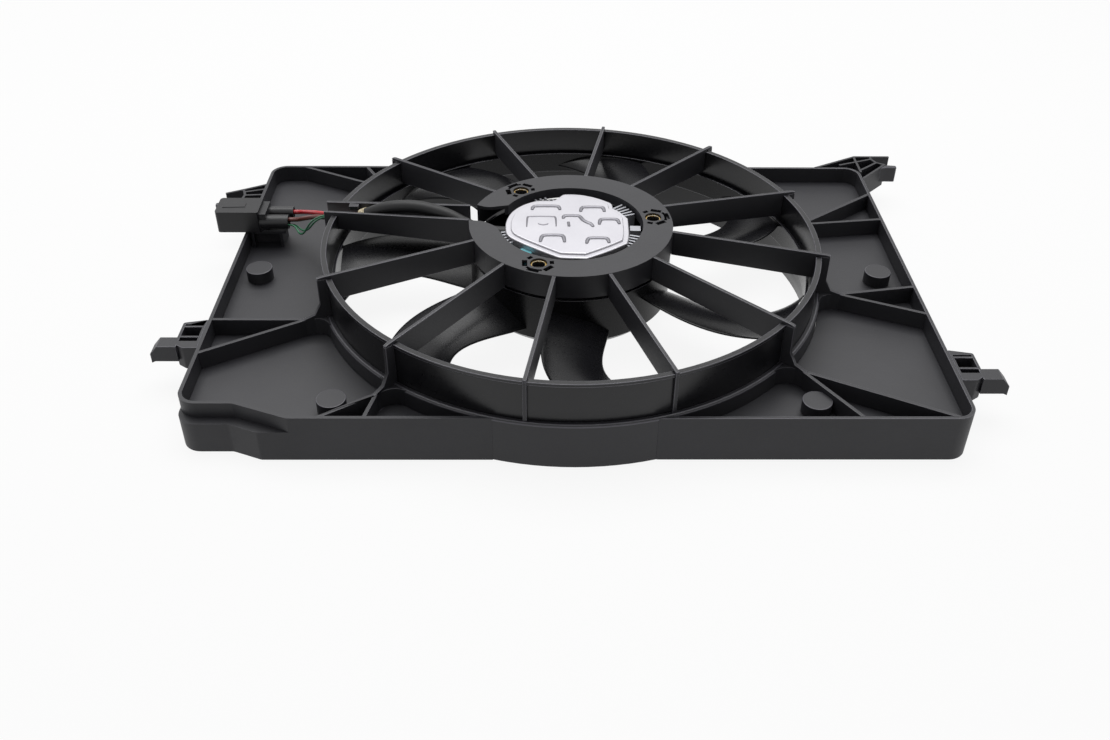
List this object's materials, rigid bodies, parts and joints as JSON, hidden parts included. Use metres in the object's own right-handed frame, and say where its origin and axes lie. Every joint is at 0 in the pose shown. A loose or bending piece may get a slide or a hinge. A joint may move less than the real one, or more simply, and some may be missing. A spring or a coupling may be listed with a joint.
{
  "type": "radiator fan shroud",
  "caption": "Rectangular moulded radiator fan shroud with a round barrel, spoked motor ring, brushless motor, banded fan, connector and lead.",
  "frame": {"origin": "on the fan axis, in the plane of the rim that faces the radiator core", "axes": "+Z along the fan axis, away from the radiator towards the engine; +X along the long side, towards the end opposite the connector; +Y across, from the recessed long side to the other"},
  "size_m": [0.6534, 0.4246, 0.0891],
  "materials": {
    "bearing_steel": "ground bearing steel",
    "board_laminate": "green glass-epoxy circuit board with solder resist",
    "breather_membrane": "cyan moulded breather cap",
    "bush_brass": "rolled brass compression bush",
    "can_steel": "deep-drawn steel with black electrocoat",
    "capacitor_can": "drawn aluminium capacitor can",
    "chip_plastic": "black moulded epoxy transistor body",
    "coil_copper": "enamelled copper winding",
    "connector_plastic": "black moulded connector plastic",
    "cover_aluminium": "pale pressed aluminium sheet, satin",
    "fan_plastic": "black glass-filled nylon moulding, smooth satin",
    "gasket_rubber": "black moulded rubber seal",
    "lamination_steel": "stacked electrical steel with a dark insulating varnish",
    "magnet_ferrite": "sintered ferrite",
    "motor_casting": "die-cast aluminium, as cast",
    "seal_silicone": "brick-red silicone wire seal",
    "shaft_steel": "ground hardened steel",
    "sheath_rubber": "black rubber cable sheath",
    "shroud_plastic": "black glass-filled nylon moulding, fine grain, satin",
    "spacer_brass": "turned brass spacer",
    "tape_cloth": "cream woven cloth tape",
    "terminal_tin": "bright tin-plated copper alloy",
    "wire_brown": "dark red-brown soft vinyl insulation",
    "wire_green": "green soft vinyl insulation",
    "wire_red": "red soft vinyl insulation",
    "zinc_screw": "zinc-plated steel"
  },
  "bodies": {
    "shroud": {"end_wall_left": "shroud_plastic", "end_wall_right": "shroud_plastic", "wing_floor_left": "shroud_plastic", "wing_floor_right": "shroud_plastic", "barrel_collar": "shroud_plastic", "pocket_ribs": "shroud_plastic", "floor_pads": "shroud_plastic", "fan_barrel": "shroud_plastic", "motor_spokes": "shroud_plastic", "barrel_posts": "shroud_plastic", "motor_ring": "shroud_plastic", "cable_channel": "shroud_plastic", "lug_front_left": "shroud_plastic", "lug_front_right": "shroud_plastic", "lug_rear_left": "shroud_plastic", "lug_rear_right": "shroud_plastic", "connector_bracket": "shroud_plastic", "motor_base": "motor_casting", "bearing_front": "bearing_steel", "bearing_rear": "bearing_steel", "stator_core": "lamination_steel", "stator_coils": "coil_copper", "circuit_board": "board_laminate", "board_spacers": "spacer_brass", "capacitors": "capacitor_can", "power_transistors": "chip_plastic", "cover_gasket": "gasket_rubber", "electronics_cover": "cover_aluminium", "screw_bushes": "bush_brass", "motor_screws": "zinc_screw", "connector_housing": "connector_plastic", "connector_terminals": "terminal_tin", "connector_seal": "seal_silicone", "cable_sheath": "sheath_rubber", "supply_wire_red": "wire_red", "supply_wire_brown": "wire_brown", "signal_wires": "wire_green", "cable_clip": "shroud_plastic", "cable_tape": "tape_cloth", "breather": "breather_membrane", "connector_lock": "connector_plastic"},
    "fan": {"fan_hub": "fan_plastic", "fan_blades": "fan_plastic", "fan_band": "fan_plastic", "rotor_can": "can_steel", "rotor_magnets": "magnet_ferrite", "motor_shaft": "shaft_steel", "fan_screws": "zinc_screw"}
  },
  "joints": [
    {"name": "fan_spin", "type": "hinge", "parent": "shroud", "child": "fan", "pos_m": [0, 0, 0.04], "axis": [0, 0, 1], "continuous": true}
  ]
}
